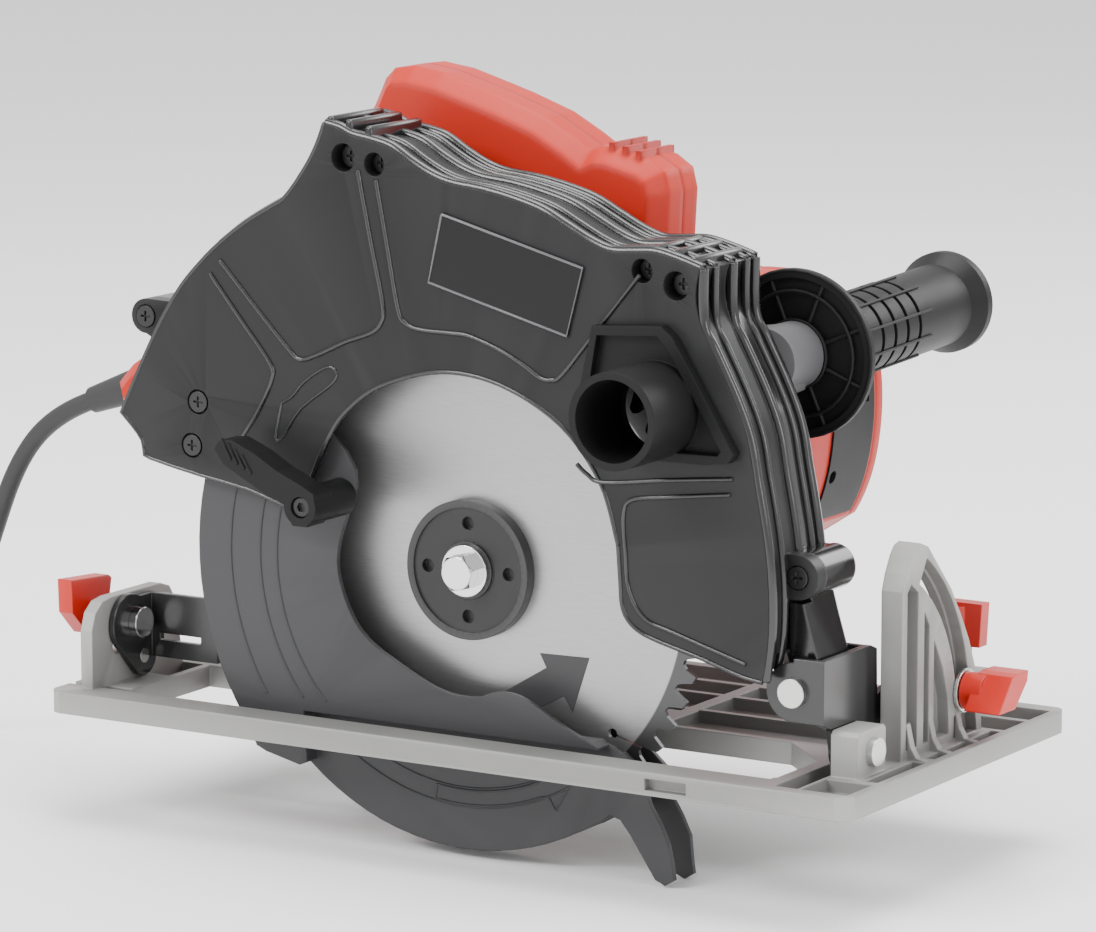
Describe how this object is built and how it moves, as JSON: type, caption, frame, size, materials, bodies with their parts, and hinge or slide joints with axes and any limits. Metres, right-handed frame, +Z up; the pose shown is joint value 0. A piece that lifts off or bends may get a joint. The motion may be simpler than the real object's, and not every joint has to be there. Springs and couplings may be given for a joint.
{
  "type": "circular saw",
  "caption": "Corded hand circular saw with tilting sole plate, swinging lower blade guard, side handle, geared motor and adjustable cutting depth.",
  "frame": {"origin": "middle of the bottom of the saw's bounding box, measured without the cord; the sole's underside is 43.9 mm above it, and the tips of the lower guard's prongs rest on it", "axes": "+X forward, the cutting direction; +Y from the blade to the motor; +Z up, away from the workpiece"},
  "size_m": [0.758, 0.2553, 0.3037],
  "materials": {
    "cast_sole": "fine as-cast surface, light warm grey",
    "zinc_steel": "zinc-plated steel",
    "chrome_steel": "bright plated steel",
    "red_plastic": "red-orange moulded plastic, satin",
    "black_steel": "gloss black coated steel",
    "guard_plastic": "dark grey moulded plastic, semi-gloss",
    "black_screws": "blackened steel screws",
    "label": "blank dark plate",
    "gear_case": "cast aluminium, dark coat",
    "black_plastic": "black textured plastic",
    "brass_parts": "brass",
    "carbon": "pressed carbon",
    "lamination": "stacked steel sheet",
    "copper": "enamelled copper",
    "bearing_steel": "ground steel",
    "gear_steel": "hardened steel, oiled",
    "cord_rubber": "black rubber",
    "spring_steel": "spring wire",
    "blade_steel": "ground blade steel with a darker tooth ring",
    "dark_flange": "dark phosphated steel",
    "lower_guard_coat": "aluminium with a dark grey satin coat"
  },
  "bodies": {
    "base": {"sole_plate": "cast_sole", "bevel_hinge_pins": "zinc_steel"},
    "fence_clamp": {"fence_clamp_screw": "zinc_steel", "fence_clamp_knob": "red_plastic"},
    "carriage": {"front_bracket": "black_steel", "rear_bracket": "black_steel", "depth_guide": "zinc_steel", "depth_pivot_bolt": "zinc_steel", "front_bevel_bolt": "zinc_steel", "front_bevel_washer": "zinc_steel", "rear_bevel_bolt": "chrome_steel"},
    "front_wing": {"front_bevel_wing_nut": "red_plastic"},
    "rear_wing": {"rear_bevel_wing_nut": "red_plastic"},
    "saw_body": {"upper_guard_cover": "guard_plastic", "upper_guard_housing": "guard_plastic", "guard_screws": "black_screws", "dust_port": "guard_plastic", "label_plate": "label", "gear_housing": "gear_case", "motor_housing": "red_plastic", "motor_end_cap": "red_plastic", "motor_screws": "zinc_steel", "brush_cover": "black_plastic", "brush_holders": "brass_parts", "carbon_brushes": "carbon", "stator_core": "lamination", "field_coils": "copper", "motor_bearings": "bearing_steel", "spindle_bearings": "bearing_steel", "handle_half_near": "red_plastic", "handle_half_far": "red_plastic", "handle_screws": "zinc_steel", "switch_body": "black_plastic", "side_handle": "black_plastic", "side_handle_stud": "zinc_steel", "cord_sleeve": "cord_rubber", "power_cord": "cord_rubber", "cord_coil": "cord_rubber", "plug": "cord_rubber", "depth_lock_bolt": "zinc_steel", "guard_return_spring": "spring_steel"},
    "depth_lever": {"depth_lock_lever": "red_plastic"},
    "arbor": {"spindle": "bearing_steel", "driven_gear": "gear_steel", "inner_flange": "gear_steel", "saw_blade": "blade_steel", "outer_flange": "dark_flange", "arbor_bolt": "chrome_steel"},
    "rotor": {"armature_shaft": "gear_steel", "armature_core": "lamination", "armature_windings": "copper", "commutator": "copper", "cooling_fan": "black_plastic"},
    "lower_guard": {"lower_guard": "lower_guard_coat", "guard_lever": "black_plastic", "guard_lever_screw": "black_screws"},
    "trigger": {"trigger": "black_plastic"},
    "lock_off": {"lock_off_button": "black_plastic"},
    "spindle_lock": {"spindle_lock_button": "black_plastic"}
  },
  "joints": [
    {"name": "bevel_tilt", "type": "hinge", "parent": "base", "child": "carriage", "pos_m": [0.003, -0.0605, 0.0615], "axis": [1, 0, 0], "range_deg": [0, 45]},
    {"name": "depth_swing", "type": "hinge", "parent": "carriage", "child": "saw_body", "pos_m": [0.153, -0.0625, 0.0845], "axis": [0, 1, 0], "range_deg": [-10, 13]},
    {"name": "front_bevel_nut_turn", "type": "hinge", "parent": "carriage", "child": "front_wing", "pos_m": [0.183, 0.0128, 0.07167], "axis": [1, 0, 0], "range_deg": [0, 180]},
    {"name": "rear_bevel_nut_turn", "type": "hinge", "parent": "carriage", "child": "rear_wing", "pos_m": [-0.177, -0.0655, 0.0765], "axis": [-1, 0, 0], "range_deg": [0, 180]},
    {"name": "fence_clamp_turn", "type": "hinge", "parent": "base", "child": "fence_clamp", "pos_m": [0.146, 0.069, 0.0745], "axis": [0, 0, 1], "range_deg": [0, 180]},
    {"name": "depth_lever_turn", "type": "hinge", "parent": "saw_body", "child": "depth_lever", "pos_m": [-0.115, -0.0305, 0.1645], "axis": [0, 1, 0], "range_deg": [0, 60]},
    {"name": "arbor_spin", "type": "hinge", "parent": "saw_body", "child": "arbor", "pos_m": [0.003, -0.0425, 0.1145], "axis": [0, 1, 0], "continuous": true},
    {"name": "motor_spin", "type": "hinge", "parent": "saw_body", "child": "rotor", "pos_m": [0.03107, 0.0375, 0.14967], "axis": [0, 1, 0], "continuous": true},
    {"name": "lower_guard_swing", "type": "hinge", "parent": "saw_body", "child": "lower_guard", "pos_m": [0.003, -0.0525, 0.1145], "axis": [0, 1, 0], "range_deg": [0, 95], "stiffness_Nm_per_rad": 0.4, "springref_deg": -91.67},
    {"name": "trigger_press", "type": "slide", "parent": "saw_body", "child": "trigger", "axis": [-0.7071, 0, 0.7071], "range_m": [0, 0.0044], "stiffness_N_per_m": 500, "springref_m": -0.004},
    {"name": "lock_off_press", "type": "slide", "parent": "saw_body", "child": "lock_off", "axis": [0, -1, 0], "range_m": [0, 0.0035], "stiffness_N_per_m": 400, "springref_m": -0.003},
    {"name": "spindle_lock_press", "type": "slide", "parent": "saw_body", "child": "spindle_lock", "axis": [0, -1, 0], "range_m": [0, 0.005], "stiffness_N_per_m": 400, "springref_m": -0.003}
  ],
  "couplings": [
    {"joint": "motor_spin", "follows": "arbor_spin", "ratio": -4}
  ]
}
